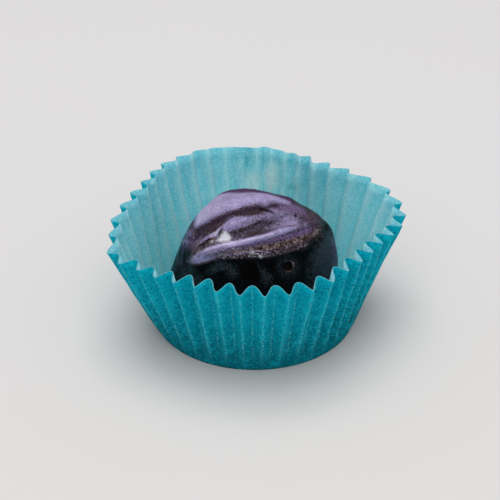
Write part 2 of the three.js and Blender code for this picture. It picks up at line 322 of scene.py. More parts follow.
def rough_up(piece, name, weight_of, grain, height):
    """Breaks up the surface where the weights say, with lumps of about the grain's size."""
    lumps = bpy.data.textures.new(name, "CLOUDS")
    lumps.noise_scale = grain * MM
    lumps.noise_depth = 2
    weigh(piece, name, weight_of)
    apply_modifier(piece, "DISPLACE", texture=lumps, texture_coords="LOCAL", vertex_group=name,
                   strength=height * MM, mid_level=0.5)


# ---------------------------------------------------------------- paper case

def pleat_depth(along, radius, turn):
    """The paper between two folds is as wide as it was when flat, which sets how deep the pleats stand."""
    crowding = -sum(size * lobes * math.sin(lobes * (turn - peak)) for lobes, size, peak in PLEAT_DRIFT)
    flat_width = math.pi * (BASE_RADIUS + along) / PLEATS
    folded_width = math.pi * radius / PLEATS * (1 + crowding * along / WALL_LENGTH)
    return math.sqrt(max(flat_width ** 2 - folded_width ** 2, 0))


def stretch(angle, middle, spread):
    """1 in the middle of a stretch of the wall and 0 well away from it."""
    return math.exp(-(math.remainder(angle - middle, math.tau) / spread) ** 4)


def crushing(angle):
    return stretch(angle, CRUSHED_TURN, CRUSHED_SPREAD)


def rim_lift(degrees):
    if not RIM_LIFT[0][0] < degrees < RIM_LIFT[-1][0]:
        return 0
    return height_along(RIM_LIFT, degrees) * MM


def wall_point(turn, along):
    """The middle of the paper wall, at a turn round the case and a distance along the slope."""
    angle = turn + waves(PLEAT_DRIFT, turn)
    share = along / WALL_LENGTH
    rim_radius = (RIM_RADIUS + waves(RIM_SHAPE, angle)
                  + LEANING_OUT * stretch(angle, LEANING_TURN, LEANING_SPREAD))
    radius = BASE_RADIUS + (rim_radius - BASE_RADIUS) * share
    opened = OPENED_FLATTENING * stretch(angle, OPENED_TURN, OPENED_SPREAD)
    kept = 1 - (CRUSHED_FLATTENING * crushing(angle) + opened) * share
    sharpness = FOLD_SHARPNESS_LOW + (FOLD_SHARPNESS_RIM - FOLD_SHARPNESS_LOW) * share
    wave = math.cos(PLEATS * (turn - FIRST_PLEAT))
    fold = math.asin(sharpness * wave) / math.asin(sharpness)
    fold += INNER_FOLD_ROUNDNESS * share * (2 * wave ** 2 - 1)
    reach = radius + fold * kept * pleat_depth(along, radius, turn) / 2
    lifted = along + rim_lift(math.degrees(angle) % 360) * share ** 3
    height = math.sqrt(max(lifted ** 2 - (reach - BASE_RADIUS) ** 2, 0))
    return Vector((reach * math.cos(angle), reach * math.sin(angle), PAPER / 2 + height))


def fold_paper_case():
    """An open tube, cut into rings, whose corners are pulled one by one into the pleats."""
    columns = PLEATS * COLUMNS_PER_PLEAT
    put_down_everything()
    bpy.ops.mesh.primitive_cylinder_add(vertices=columns, radius=BASE_RADIUS, depth=WALL_LENGTH,
                                        end_fill_type="NOTHING", location=(0, 0, WALL_LENGTH / 2))
    case = bpy.context.object
    case.name = "pleated_case"
    bpy.ops.object.transform_apply(location=True)
    mesh = start_editing(case, "EDGE")
    for edge in mesh.edges:
        edge.select_set(abs(edge.verts[0].co.z - edge.verts[1].co.z) > WALL_LENGTH / 2)
    bpy.ops.mesh.subdivide(number_cuts=WALL_RINGS - 1)
    mesh = bmesh.from_edit_mesh(case.data)
    bpy.ops.mesh.select_mode(type="VERT")
    places = []
    for vertex in mesh.verts:
        column = round(math.atan2(vertex.co.y, vertex.co.x) / math.tau * columns) % columns
        ring = round(vertex.co.z / WALL_LENGTH * WALL_RINGS)
        places.append((column, ring))
    name_pleats(mesh, places, columns)
    for index, (column, ring) in enumerate(places):
        mesh = bmesh.from_edit_mesh(case.data)
        mesh.verts.ensure_lookup_table()
        bpy.ops.mesh.select_all(action="DESELECT")
        vertex = mesh.verts[index]
        vertex.select_set(True)
        along = WALL_LENGTH * (ring / WALL_RINGS) ** RING_CROWDING
        place = wall_point(FIRST_PLEAT + math.tau * column / columns, along)
        bpy.ops.transform.translate(value=place - vertex.co)
    stop_editing()
    apply_modifier(case, "SUBSURF", levels=1, render_levels=1)
    rough_up(case, "soft_wobble", lambda x, y, z: rise(z, 2, 14), **SOFT_WOBBLE)
    rough_up(case, "crushed_rim", crushed, **CRUSHED_BUCKLES)
    close_floor(case)
    return case


def crushed(x, y, z):
    """1 at the rim where the pleats are pressed flat and the paper has buckled."""
    return crushing(math.atan2(y, x)) * rise(z, 7, 15)


def name_pleats(mesh, places, columns):
    """Writes the pleat count across and the share of the wall upwards into the piece's own UV map."""
    flat = mesh.loops.layers.uv.new("pleats")
    for face in mesh.faces:
        face_columns = [places[loop.vert.index][0] for loop in face.loops]
        wraps = max(face_columns) - min(face_columns) > columns / 2
        for loop, column in zip(face.loops, face_columns):
            ring = places[loop.vert.index][1]
            counted = column + columns if wraps and column < columns / 2 else column
            loop[flat].uv = (counted / COLUMNS_PER_PLEAT, (ring / WALL_RINGS) ** RING_CROWDING)


def close_floor(case):
    mesh = start_editing(case, "EDGE")
    for edge in mesh.edges:
        edge.select_set(edge.is_boundary and edge.verts[0].co.z < PAPER)
    bpy.ops.mesh.edge_face_add()
    bpy.ops.mesh.inset(thickness=FLOOR_INSET)
    bpy.ops.mesh.select_all(action="SELECT")
    bpy.ops.mesh.normals_make_consistent(inside=False)
    stop_editing()


def finish_case(case, materials):
    for material in materials:
        case.data.materials.append(material)
    apply_modifier(case, "SOLIDIFY", thickness=PAPER, offset=0, use_even_offset=True,
                   material_offset=1, material_offset_rim=2)
    take_up(case)
    bpy.ops.object.shade_smooth()
    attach(case, "root")
    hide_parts("paper_case")


# ---------------------------------------------------------------- truffle

def stroke_line(stroke, x):
    return stroke["start"] + stroke["slope"] * x + stroke["bow"] * x * x


def off_stroke(stroke, x, y):
    """Distance in millimetres behind (above 0) or in front of (below 0) a stroke, seen from above."""
    return (y - stroke_line(stroke, x)) / math.hypot(1, stroke["slope"] + 2 * stroke["bow"] * x)


def inside_coating(x, y):
    """Above 0 inside the coating's oval and below 0 outside it, seen from above."""
    across = (x - COATING_EDGE["x"]) / COATING_EDGE["half_width"]
    deep = (y - COATING_EDGE["y"]) / COATING_EDGE["half_depth"]
    return 1 - math.hypot(across, deep) + waves(COATING_RIPPLE, math.atan2(deep, across))


def copy_of_node(node, name):
    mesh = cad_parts[node].data.copy()
    mesh.materials.clear()
    piece = bpy.data.objects.new(name, mesh)
    bpy.context.scene.collection.objects.link(piece)
    start_editing(piece, "VERT")
    bpy.ops.mesh.select_all(action="SELECT")
    bpy.ops.mesh.remove_doubles(threshold=WELD)
    stop_editing()
    return piece


def comb(truffle):
    """Works each stroke along its line, with the coating beside it drawn along softly."""
    on_line = CLAY / MM * 0.6
    for stroke in STROKES:
        line = []
        for vertex in truffle.data.vertices:
            x, y, z = vertex.co / MM
            if z > COMBED_ABOVE and abs(off_stroke(stroke, x, y)) < on_line and inside_coating(x, y) > 0:
                line.append((vertex.index, x))
        for work in range(STROKE_PASSES):
            low = stroke["low"] + work * STROKE_TAPER
            high = stroke["high"] - work * STROKE_TAPER
            mesh = start_editing(truffle, "VERT")
            mesh.verts.ensure_lookup_table()
            for index, x in line:
                mesh.verts[index].select_set(low < x < high)
            bpy.ops.transform.shrink_fatten(value=stroke["height"] / STROKE_PASSES * MM,
                                            use_proportional_edit=True,
                                            proportional_edit_falloff="SMOOTH",
                                            proportional_size=stroke["reach"] * MM)
            stop_editing()


def push_out(truffle, place, radius, push, reach, falloff):
    """Draws one place out of the surface, or sinks it where push is below 0, and what lies round it less."""
    mesh = start_editing(truffle, "VERT")
    for vertex in mesh.verts:
        vertex.select_set((vertex.co / MM - place).length < radius)
    if not any(vertex.select for vertex in mesh.verts):
        min(mesh.verts, key=lambda vertex: (vertex.co / MM - place).length).select_set(True)
    bpy.ops.transform.shrink_fatten(value=push * MM, use_proportional_edit=True,
                                    proportional_edit_falloff=falloff, proportional_size=reach * MM)
    stop_editing()


def band(value, low, high, soft):
    return smooth_step((value - low) / soft) * smooth_step((high - value) / soft)


def spot(x, y, centre, radius):
    away = math.dist((x, y), centre) / radius
    return math.exp(-away * away)


def crumbly(x, y, z):
    """Where the coating is broken and grainy: above its front edge and at the left of the ridges."""
    behind_the_crest, below_the_ledge = y > 2, z < 9
    if behind_the_crest or below_the_ledge:
        return 0
    w = y * math.sin(BRUSH_TILT) + z * math.cos(BRUSH_TILT)
    return covered(CRUMB_SWEEPS, CRUMB_DABS, x, w)


def shape_truffle():
    truffle = copy_of_node("truffle", "combed_truffle")
    apply_modifier(truffle, "REMESH", mode="VOXEL", voxel_size=CLAY)
    apply_modifier(truffle, "SMOOTH", **DOME_SMOOTHING)
    push_out(truffle, falloff="SMOOTH", **SHOULDER)
    push_out(truffle, falloff="SMOOTH", **LOBE)
    comb(truffle)
    apply_modifier(truffle, "SMOOTH", **COMB_SMOOTHING)
    push_out(truffle, falloff="SHARP", **BUBBLE_SKIN)
    push_out(truffle, falloff="ROOT", **BUBBLE_HOLE)
    rough_up(truffle, "crumbs", crumbly, **CRUMBS)
    rough_up(truffle, "unevenness", lambda x, y, z: rise(z, 3, 8), **UNEVENNESS)
    seat_on_paper(truffle)
    return truffle


def seat_on_paper(truffle):
    """Brings the flat foot down onto the case's floor."""
    mesh = start_editing(truffle, "VERT")
    foot = min(vertex.co.z for vertex in mesh.verts)
    for vertex in mesh.verts:
        vertex.select_set(vertex.co.z < foot + FOOT)
    bpy.ops.transform.translate(value=(0, 0, PAPER - foot), use_proportional_edit=True,
                                proportional_edit_falloff="LINEAR", proportional_size=FOOT_REACH)
    stop_editing()


# ---------------------------------------------------------------- laying the lustre on

def between(sweep, x, w):
    """How fully a sweep of the brush covers a place: its two sides are paths, and its ends die away."""
    first, last = sweep["low"][0][0], sweep["low"][-1][0]
    ends = sweep.get("ends", 0.8)
    if x < first - ends or x > last + ends:
        return 0
    over = (w - height_along(sweep["low"], x)) / sweep.get("soft_low", 0.4) + 0.5
    under = (height_along(sweep["top"], x) - w) / sweep.get("soft_top", 0.4) + 0.5
    if over <= 0 or under <= 0:
        return 0
    along = min(max((x - first) / (last - first), 0), 1)
    strength = sweep["strength"] + (sweep.get("end_strength", sweep["strength"]) - sweep["strength"]) * along
    return strength * smooth_step(over) * smooth_step(under) * band(x, first - ends, last + ends, 2 * ends)


def streak(path, half_width, strength, soft=0.3, ends=0.5):
    """A narrow sweep of even width along one path."""
    return dict(low=[(x, w - half_width) for x, w in path], top=[(x, w + half_width) for x, w in path],
                strength=strength, soft_low=soft, soft_top=soft, ends=ends)


def covered(sweeps, dabs, x, w):
    """The strongest cover that any of the sweeps, or of the round dabs, gives a place."""
    share = max(between(sweep, x, w) for sweep in sweeps)
    for across, up, radius, strength in dabs:
        fades_by = DAB_REACH * radius
        if abs(x - across) < fades_by and abs(w - up) < fades_by:
            share = max(share, strength * spot(x, w, (across, up), radius))
    return share


def raised(path, by):
    return [(x, w + by) for x, w in path]


def brushed(piece, name, layers, behind):
    """Stores three finishes in one colour attribute; behind gives those on the far side of the dome."""
    layer = piece.data.color_attributes.new(name=name, type="FLOAT_COLOR", domain="POINT")
    toward_brush = Vector((0, -math.cos(BRUSH_TILT), math.sin(BRUSH_TILT)))
    for vertex, entry in zip(piece.data.vertices, layer.data):
        x, y, z = vertex.co / MM
        w = y * math.sin(BRUSH_TILT) + z * math.cos(BRUSH_TILT)
        facing = smooth_step(vertex.normal.dot(toward_brush) / BRUSH_EDGE + 0.5)
        far = behind(x, y, z)
        near = [covered(sweeps, dabs, x, w) if facing > 0 else 0 for sweeps, dabs in layers]
        shares = [facing * front + (1 - facing) * back for front, back in zip(near, far)]
        entry.color = (*shares, 1)


# ---------------------------------------------------------------- finishes

def new_finish(name):
    material = bpy.data.materials.new(name)
    material.use_nodes = True
    return material.node_tree, material


def feed(tree, socket, value):
    """Links the value when another node gives it, and otherwise sets it."""
    if isinstance(value, bpy.types.NodeSocket):
        tree.links.new(value, socket)
    else:
        socket.default_value = value


def calculate(tree, operation, *values):
    node = tree.nodes.new("ShaderNodeMath")
    node.operation = operation
    for socket, value in zip(node.inputs, values):
        feed(tree, socket, value)
    return node.outputs[0]


def plus(tree, one, other):
    return calculate(tree, "ADD", one, other)


def minus(tree, one, other):
    return calculate(tree, "SUBTRACT", one, other)


def times(tree, one, other):
    return calculate(tree, "MULTIPLY", one, other)


def off_middle(tree, count):
    """0 halfway between two whole numbers and 0.5 at each of them."""
    return calculate(tree, "ABSOLUTE", minus(tree, calculate(tree, "FRACT", count), 0.5))


def fade(tree, value, start, end, from_value=0.0, to_value=1.0):
    """Goes softly from one value to the other while the input goes from start to end."""
    node = tree.nodes.new("ShaderNodeMapRange")
    node.interpolation_type = "SMOOTHSTEP"
    for name, number in (("Value", value), ("From Min", start), ("From Max", end), ("To Min", from_value),
                         ("To Max", to_value)):
        feed(tree, node.inputs[name], number)
    return node.outputs["Result"]


def tint(tree, share, under, over):
    """Lays one colour over another by the given share."""
    node = tree.nodes.new("ShaderNodeMix")
    node.data_type = "RGBA"
    feed(tree, node.inputs[0], share)
    feed(tree, node.inputs[6], under if isinstance(under, bpy.types.NodeSocket) else (*under, 1))
    feed(tree, node.inputs[7], over if isinstance(over, bpy.types.NodeSocket) else (*over, 1))
    return node.outputs[2]


def grain(tree, place, size, detail=2.0, roughness=0.5):
    """Even noise whose lumps are about the given size across, in millimetres."""
    node = tree.nodes.new("ShaderNodeTexNoise")
    feed(tree, node.inputs["Vector"], place)
    node.inputs["Scale"].default_value = 1 / (size * MM)
    node.inputs["Detail"].default_value = detail
    node.inputs["Roughness"].default_value = roughness
    return node.outputs["Fac"]


def flecks(tree, place, size):
    """Separate small grains: the distance from the middle of the nearest one and a number for each."""
    node = tree.nodes.new("ShaderNodeTexVoronoi")
    feed(tree, node.inputs["Vector"], place)
    node.inputs["Scale"].default_value = 1 / (size * MM)
    split = tree.nodes.new("ShaderNodeSeparateColor")
    tree.links.new(node.outputs["Color"], split.inputs["Color"])
    return node.outputs["Distance"], split.outputs["Red"]


def relief(tree, shader, height, depth):
    node = tree.nodes.new("ShaderNodeBump")
    node.inputs["Distance"].default_value = depth * MM
    feed(tree, node.inputs["Height"], height)
    tree.links.new(node.outputs["Normal"], shader.inputs["Normal"])


def object_place(tree):
    return tree.nodes.new("ShaderNodeTexCoord").outputs["Object"]


def three_shares(tree, layer):
    """The three finishes that brushed stored together."""
    stored = tree.nodes.new("ShaderNodeAttribute")
    stored.attribute_name = layer
    split = tree.nodes.new("ShaderNodeSeparateColor")
    tree.links.new(stored.outputs["Color"], split.inputs["Color"])
    return split.outputs["Red"], split.outputs["Green"], split.outputs["Blue"]


def pleat_place(tree):
    """The two counts of the case's own UV map: pleats round, and the share of the way up the wall."""
    pleats = tree.nodes.new("ShaderNodeUVMap")
    pleats.uv_map = "pleats"
    split = tree.nodes.new("ShaderNodeSeparateXYZ")
    tree.links.new(pleats.outputs["UV"], split.inputs[0])
    return split.outputs[0], split.outputs[1]


def dent_highlight_patch(tree, across, up, patch):
    """1 in the middle of a painted highlight on a dent and 0 outside it."""
    round_case, height, reach_round, reach_up = patch
    aside = calculate(tree, "DIVIDE", minus(tree, across, round_case), reach_round)
    above = calculate(tree, "DIVIDE", minus(tree, up, height), reach_up)
    return fade(tree, plus(tree, times(tree, aside, aside), times(tree, above, above)), 2.2, 0.0)


def wrinkle(tree, across, up, mark):
    """1 along a wrinkle, which runs down from the rim to the height at which it starts."""
    at_rim, lower_down, width, start = mark
    middle = fade(tree, up, 1.0, 0.75, at_rim, lower_down)
    off = calculate(tree, "ABSOLUTE", minus(tree, across, middle))
    return times(tree, fade(tree, off, width, 0.0), fade(tree, up, start, start + 0.10))


def paper_finish(name, colours, mottle, crease_share, flank_light_share, marks=(), patches=()):
    """Thin dyed paper: fibres all over, worn pale along each fold, its colour changing from the base to the
    rim, and painted shade and painted light across the pleats' flanks.
    """
    tree, material = new_finish(name)
    shader = tree.nodes["Principled BSDF"]
    place = object_place(tree)
    across, up = pleat_place(tree)
    wander = times(tree, minus(tree, grain(tree, place, FOLD_WANDER), 0.5), 0.10)
    # Two folds to a pleat, an outer and an inner one, and both are worn
    counted = plus(tree, times(tree, across, 2), wander)
    flat_width = fade(tree, up, 0.0, 1.0, BASE_FOLD, RIM_FOLD)
    from_fold = times(tree, off_middle(tree, plus(tree, counted, 0.5)), flat_width)
    crease = fade(tree, from_fold, CREASE_EDGE, 0.04)
    specks = fade(tree, grain(tree, place, WORN_SPECK, 3), 0.42, 0.62)
    line = times(tree, times(tree, crease, specks), fade(tree, up, 0.03, 0.35))
    fibres = grain(tree, place, PULP_FIBRE, 4, 0.60)
    clouds = grain(tree, place, PULP_CLOUD, 3)
    paper_colour = tint(tree, fade(tree, up, 0.05, 0.75), colours["low"], colours["sheet"])
    paper_colour = tint(tree, fade(tree, up, 0.76, 1.0), paper_colour, colours["rim"])
    # Seen from inside, the outer folds lie in shade and the inner ones catch the light
    from_outer = off_middle(tree, plus(tree, times(tree, wander, 0.6), plus(tree, across, 0.56)))
    paper_colour = tint(tree, times(tree, fade(tree, from_outer, 0.26, 0.02), flank_light_share), paper_colour, colours["deep"])
    paper_colour = tint(tree, times(tree, fade(tree, from_outer, 0.30, 0.5), flank_light_share), paper_colour, colours["fibre_and_lit"])
    # Painted highlights on the dents of the crushed rim, which hide the crease lines there
    for patch in patches:
        dent_highlight = dent_highlight_patch(tree, across, up, patch)
        paper_colour = tint(tree, times(tree, dent_highlight, 0.85), paper_colour, colours["worn_and_lit"])
        line = times(tree, line, minus(tree, 1.0, dent_highlight))
    # Painted shade along the wrinkles and under the folded flap at the crushed rim
    for mark in marks:
        paper_colour = tint(tree, times(tree, wrinkle(tree, across, up, mark), 0.75), paper_colour, WRINKLE_SHADE)
    more_upwards = fade(tree, up, 0.0, 0.45, 0.45 * mottle, mottle)
    fibre_share = times(tree, fade(tree, fibres, 0.50, 0.64), more_upwards)
    paper_colour = tint(tree, fibre_share, paper_colour, colours["fibre_and_lit"])
    paper_colour = tint(tree, times(tree, fade(tree, fibres, 0.47, 0.34), mottle), paper_colour, colours["deep"])
    paper_colour = tint(tree, times(tree, fade(tree, clouds, 0.50, 0.72), mottle * 0.5), paper_colour, colours["fibre_and_lit"])
    paper_colour = tint(tree, times(tree, line, crease_share), paper_colour, colours["worn_and_lit"])
    tree.links.new(paper_colour, shader.inputs["Base Color"])
    tree.links.new(fade(tree, fibres, 0.3, 0.7, 0.66, 0.82), shader.inputs["Roughness"])
    shader.inputs["Specular IOR Level"].default_value = 0.06
    shader.inputs["Subsurface Weight"].default_value = 0.9
    shader.inputs["Subsurface Radius"].default_value = (0.5, 1.0, 1.0)
    shader.inputs["Subsurface Scale"].default_value = PAPER_GLOW
    relief(tree, shader, plus(tree, fibres, times(tree, line, 0.8)), PAPER_RELIEF)
    return material


def cut_paper_finish():
    """The paper's cut edge, paler than its faces."""
    tree, material = new_finish("cut_paper_edge")
    shader = tree.nodes["Principled BSDF"]
    fibres = grain(tree, object_place(tree), CUT_EDGE_FIBRE, 3)
    tree.links.new(tint(tree, fade(tree, fibres, 0.35, 0.65), *CUT_EDGE), shader.inputs["Base Color"])
    shader.inputs["Roughness"].default_value = 0.8
    return material


def truffle_finish():
    """Near-black glossy chocolate, with mica lustre that clings in grains where it was brushed on, and
    painted highlights, glints, sheen and shade laid into its colour.
    """
    tree, material = new_finish("lustred_chocolate")
    shader = tree.nodes["Principled BSDF"]
    place = object_place(tree)
    lilac, violet, bronze = three_shares(tree, "lustre")
    cream, sparkle, haze = three_shares(tree, "flecks")
    crumb, coat, dark = three_shares(tree, "coating")
    fine = grain(tree, place, FINE_DUST, 3, 0.6)
    medium = grain(tree, place, MEDIUM_DUST, 4, 0.6)
    speckle = grain(tree, place, SPECKLE, 3, 0.7)
    broad = grain(tree, place, BROAD_PATCH, 3)
    clumps = grain(tree, place, CLUMP, 2)
    dust_grain = plus(tree, times(tree, medium, 0.3), times(tree, fine, 0.7))

    def clings(share, graininess, soft):
        """A full share covers all, and a low one only the tops of the grains."""
        lifted = times(tree, minus(tree, dust_grain, 0.5), graininess)
        gate = minus(tree, plus(tree, share, lifted), 0.5)
        return times(tree, fade(tree, gate, -soft, soft), fade(tree, share, 0.0, 0.2))

    lilac_dust = clings(lilac, graininess=2.8, soft=0.35)
    violet_dust = clings(violet, graininess=1.6, soft=0.45)
    bronze_dust = clings(bronze, graininess=2.4, soft=0.35)
    haze_and_sheen = times(tree, clings(haze, graininess=4.6, soft=0.55), 0.9)
    cream_dust = clings(cream, graininess=3.2, soft=0.6)
    dark_share = clings(dark, graininess=2.0, soft=0.3)

    # Bare chocolate, blue where it is bloomed and where a sheen is painted along its right side
    bare = tint(tree, haze_and_sheen, BARE_CHOCOLATE, BLOOM_AND_SHEEN)
    dusky = tint(tree, fade(tree, dust_grain, 0.40, 0.62), *DUSKY)
    colour = tint(tree, coat, bare, dusky)
    colour = tint(tree, violet_dust, colour, tint(tree, broad, *VIOLET))
    crumbs = plus(tree, times(tree, speckle, 0.5), times(tree, clumps, 0.5))
    colour = tint(tree, bronze_dust, colour, tint(tree, fade(tree, crumbs, 0.43, 0.565), *BRONZE))
    lilac_colour = tint(tree, fade(tree, broad, 0.36, 0.64), *LILAC)
    lilac_colour = tint(tree, fade(tree, lilac, 0.35, 0.90), THIN_LILAC, lilac_colour)
    # Shares above 0.85 turn the lilac into painted highlight
    lilac_colour = tint(tree, fade(tree, lilac, 0.85, 1.30), lilac_colour, LILAC_HIGHLIGHT)
    lilac_share = times(tree, lilac_dust, fade(tree, fine, 0.36, 0.56, 0.55, 1.0))
    colour = tint(tree, lilac_share, colour, lilac_colour)
    colour = tint(tree, cream_dust, colour, CREAM)
    # Dark cracks, and painted shade along the ledge, in the furrow and in the brown arc
    colour = tint(tree, dark_share, colour, CRACK_AND_SHADE_DARK)
    # Painted glints: pale flecks where the mica grains catch the light
    distance, number = flecks(tree, place, SPARKLE)
    gathered = times(tree, sparkle, fade(tree, clumps, 0.40, 0.60, 0.72, 1.20))
    shown = fade(tree, plus(tree, number, gathered), 1.40, 1.55)
    painted_glint = times(tree, fade(tree, distance, 0.50, 0.25), shown)
    colour = tint(tree, painted_glint, colour, GLINT_PALE)
    tree.links.new(colour, shader.inputs["Base Color"])

    dust = calculate(tree, "MAXIMUM", calculate(tree, "MAXIMUM", lilac_dust, violet_dust), bronze_dust)
    tree.links.new(fade(tree, dust, 0.0, 1.0, 0.0, 0.25), shader.inputs["Metallic"])
    matt = plus(tree, times(tree, coat, 0.17), times(tree, fade(tree, medium, 0.35, 0.7), 0.12))
    tree.links.new(plus(tree, matt, 0.20), shader.inputs["Roughness"])
    shader.inputs["IOR"].default_value = 1.46
    shader.inputs["Specular IOR Level"].default_value = 0.08
    coat_bump = plus(tree, times(tree, coat, 0.35), 0.06)
    crumb_bump = plus(tree, coat_bump, crumb)
    bumps = plus(tree, times(tree, fine, crumb_bump), times(tree, medium, crumb_bump))
    relief(tree, shader, bumps, CHOCOLATE_RELIEF)
    return material


def table_finish():
    tree, material = new_finish("pale_table")
    shader = tree.nodes["Principled BSDF"]
    place = object_place(tree)
    mottle = grain(tree, place, TABLE_MOTTLE, 4)
    split = tree.nodes.new("ShaderNodeSeparateXYZ")
    tree.links.new(place, split.inputs[0])
    toward_front = fade(tree, split.outputs[1], 0.06, -0.05, 0.0, 0.5)
    warmth = plus(tree, times(tree, mottle, 0.5), toward_front)
    tree.links.new(tint(tree, warmth, *TABLE_COLOURS), shader.inputs["Base Color"])
    shader.inputs["Roughness"].default_value = 0.7
    shader.inputs["Specular IOR Level"].default_value = 0.2
    return material


# ---------------------------------------------------------------- studio

def lamp(name, place, size, power):
    bpy.ops.object.light_add(type="AREA", location=place)
    light = bpy.context.object
    light.name = name
    light.data.energy = power
    light.data.size = size
    light.rotation_euler = (Vector(LIT_MIDDLE) - light.location).to_track_quat("-Z", "Y").to_euler()
    return light


def studio():
    put_down_everything()
    bpy.ops.mesh.primitive_plane_add(size=TABLE_SIZE, location=(0, 0, 0))
    table = bpy.context.object
    table.name = "table"
    table.data.materials.append(table_finish())
    world = bpy.data.worlds.new("studio")
    world.use_nodes = True
    background = world.node_tree.nodes["Background"]
    background.inputs["Color"].default_value = (1, 1, 1, 1)
    background.inputs["Strength"].default_value = ROOM_LIGHT
    world.cycles_visibility.glossy = False
    bpy.context.scene.world = world
    lamp("soft_key", **KEY)
    fill = lamp("front_fill", **FILL)
    fill.visible_glossy = False
    back = Vector((0, -math.cos(VIEW_ELEVATION), math.sin(VIEW_ELEVATION)))
    bpy.ops.object.camera_add(location=VIEW_TARGET + back * VIEW_DISTANCE)
    camera = bpy.context.object
    camera.rotation_euler = (-back).to_track_quat("-Z", "Y").to_euler()
    camera.data.sensor_width = SENSOR
    camera.data.lens = LENS
    camera.data.clip_start = NEAREST_SEEN
    bpy.context.scene.camera = camera
    bpy.context.scene.view_settings.view_transform = "Standard"


# ---------------------------------------------------------------- what the brush did, and the painted light

def round_bubble():
    """Dabs along the torn skin of the bubble, thicker in three places."""
    middle_x, middle_w = BUBBLE_MIDDLE
    dabs = []
    for part in range(BUBBLE_DABS):
        turn = math.tau * part / BUBBLE_DABS
        dabs.append((middle_x + BUBBLE_RADIUS * math.cos(turn), middle_w + BUBBLE_RADIUS * math.sin(turn),
                     BUBBLE_DAB, 0.75 + 0.4 * math.cos(3 * turn - 1)))
    return dabs


# A sweep lies between two paths, and a streak follows one, with a half width and a strength. A dab is its
# place across and up, its radius and its strength.
# Lilac dust; shares above 0.85, on the crown, the sharp crest and the strongest dabs, are painted highlight
LILAC_SWEEPS = [
    dict(low=CROWN_LOW, top=raised(CROWN_TOP, 0.5), strength=0.94, end_strength=0.95, soft_low=1.2,
         soft_top=0.7, ends=0.7),
    dict(low=CROWN_LOW_LEFT, top=raised(CROWN_TOP_LEFT, 0.5), strength=1.16, end_strength=0.95, soft_low=1.2,
         soft_top=0.7, ends=0.7),
    dict(low=MIDDLE_LOW, top=MIDDLE_TOP, strength=0.90, end_strength=0.45, soft_low=0.7, soft_top=0.7,
         ends=0.6),
    dict(low=SHARP_LOW, top=SHARP_TOP, strength=1.1, end_strength=0.74, soft_low=0.5, soft_top=0.7, ends=2.0),
    streak(SHARP_CREST, 0.32, 1.22, soft=0.7, ends=2.4),
    # Painted light on the lobe, whose face turns away from the lamps
    dict(low=LOBE_LOW, top=raised(LOBE_TOP, -0.4), strength=0.78, end_strength=0.64, soft_low=0.25,
         soft_top=0.7, ends=1.2),
    streak(UNDER_SHARP, 0.70, 0.40, soft=0.8, ends=1.0),
    streak(UNDER_SHARP_LEFT, 0.5, 0.66, soft=0.6, ends=0.8),
    streak(RIGHT_HAZE, 0.9, 0.42, soft=1.2, ends=1.0),
    streak(RIGHT_SHOULDER, 1.2, 0.62, soft=1.2, ends=1.2),
    dict(low=VALLEY_LOW, top=VALLEY_TOP, strength=0.30, end_strength=0.85, soft_low=0.5, soft_top=0.9,
         ends=0.8),
    dict(low=raised(LEFT_STREAK, -0.32), top=raised(LEFT_STREAK, 0.28), strength=0.55, end_strength=1.05,
         soft_low=0.5, soft_top=0.5, ends=0.7),
    streak(LOW_STREAK, 0.12, 0.75, soft=0.4),
    streak(CREAM_STREAK, 0.3, 0.98, soft=0.6),
    streak(LEFT_END, 0.4, 0.22, soft=0.8),
    streak(GREY_FURROW, 0.5, 0.30, soft=0.8)]
# The two dabs at the far left are laid brighter as painted light; the strongest dabs are painted highlight
LILAC_DABS = [(-8.4, 11.4, 1.5, 0.30), (-10.9, 11.6, 1.0, 0.50), (-10.2, 12.8, 0.9, 0.55),
              (6.6, 14.0, 1.4, 0.55), (-3.4, 14.3, 1.0, 1.0), (1.6, 18.0, 1.2, 1.03),
              (-6.1, 12.55, 0.5, 1.15), (4.0, 13.1, 0.8, 1.0), (8.0, 14.0, 0.7, 0.6)]
VIOLET_SWEEPS = [
    dict(low=CROWN_TOP, top=PAST_THE_TOP, strength=0.60, soft_low=1.2, ends=0.8),
    dict(low=raised(UNDER_SHARP, -0.35), top=raised(UNDER_SHARP, 0.3), strength=0.75, end_strength=1.0,
         soft_low=0.6, soft_top=0.3, ends=1.2),
    streak(RIGHT_HAZE, 0.7, 0.80, soft=1.2, ends=1.0),
    streak(MAGENTA_STREAK, 0.3, 0.8),
    dict(low=RIGHT_EDGE_LOW, top=RIGHT_EDGE_TOP, strength=0.34, end_strength=0.6, soft_top=4.0),
    streak(FURROW, 0.55, 0.30, soft=1.0), streak(LEFT_END, 0.7, 0.40, soft=0.9)]
VIOLET_DABS = [(-9.5, 11.5, 1.6, 0.60), (-10.6, 12.6, 1.2, 0.6), (9.0, 14.8, 1.5, 0.45),
               (-8.8, 9.2, 1.2, 0.4), (-11.8, 8.3, 0.9, 0.25)]
BRONZE_SWEEPS = [
    dict(low=LOBE_LOW, top=LOBE_TOP, strength=0.95, soft_low=0.25, soft_top=0.7, ends=1.2),
    streak(BRONZE_LINE, 0.50, 0.90, soft=0.6, ends=2.0),
    streak(BROWN_LINE, 0.30, 0.30, soft=0.8)]
BRONZE_DABS = [(9.2, 15.2, 1.0, 0.50), (2.4, 15.9, 0.9, 0.45), (-8.6, 10.9, 1.3, 0.70),
               (-6.8, 11.8, 0.9, 0.8), (9.9, 12.9, 0.9, 0.7), (-9.6, 12.4, 0.8, 0.5), *round_bubble()]
CREAM_SWEEPS = [
    dict(low=CREAM_LOW, top=raised(CREAM_TOP, 0.1), strength=0.95, soft_low=0.9, soft_top=1.1, ends=0.7),
    streak(CREAM_STREAK, 0.14, 0.72, soft=0.7)]
CREAM_DABS = [(0.9, 9.2, 0.28, 0.9), (-0.4, 9.9, 0.35, 0.6), (-6.6, 11.5, 0.3, 0.6)]
